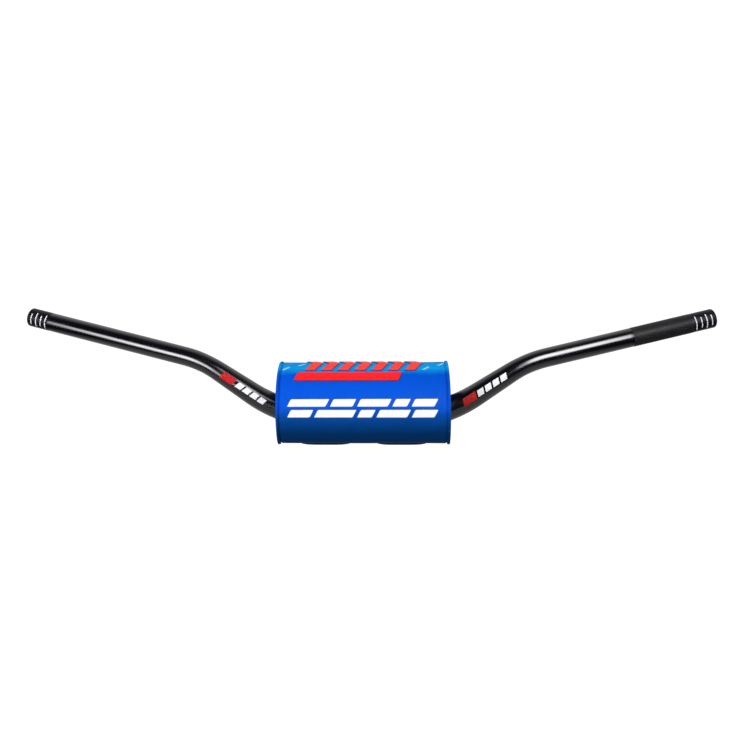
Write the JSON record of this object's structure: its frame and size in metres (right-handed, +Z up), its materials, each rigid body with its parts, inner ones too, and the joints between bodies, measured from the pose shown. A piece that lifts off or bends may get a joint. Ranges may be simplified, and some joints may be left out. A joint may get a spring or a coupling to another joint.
{
  "type": "motocross handlebar",
  "caption": "Wide tapered alloy handlebar without a crossbar, bent up and swept back, with a soft D-section pad closed round its middle.",
  "frame": {"origin": "middle of the clamp zone, on the tube's axis", "axes": "+X along the clamp zone towards the rider's left hand, +Y back towards the rider, +Z up as mounted"},
  "size_m": [0.8152, 0.1286, 0.1289],
  "materials": {
    "black_alloy": "gloss black anodised",
    "foam": "closed-cell foam",
    "blue_vinyl": "smooth coated fabric",
    "navy_vinyl": "smooth coated fabric",
    "black_tape": "hook-and-loop tape",
    "red_badge": "satin moulded vinyl",
    "red_ink": "satin print",
    "white_ink": "satin print",
    "pale_ink": "satin print"
  },
  "bodies": {
    "root": {"handlebar_tube": "black_alloy", "pad_foam_core": "foam", "pad_cover": "blue_vinyl", "pad_end_panel_left": "blue_vinyl", "pad_end_panel_right": "blue_vinyl", "pad_rim_left": "blue_vinyl", "pad_rim_right": "blue_vinyl", "closure_flap_left": "navy_vinyl", "closure_flap_right": "navy_vinyl", "loop_tape_left": "black_tape", "loop_tape_right": "black_tape", "hook_tape_left": "black_tape", "hook_tape_right": "black_tape", "top_badge_stripe": "red_badge", "top_badge_chevrons": "red_badge", "top_print_dashes": "pale_ink", "front_print_blocks": "white_ink", "arm_print_red_left": "red_ink", "arm_print_red_right": "red_ink", "arm_print_white_left": "white_ink", "arm_print_white_right": "white_ink"}
  },
  "joints": []
}
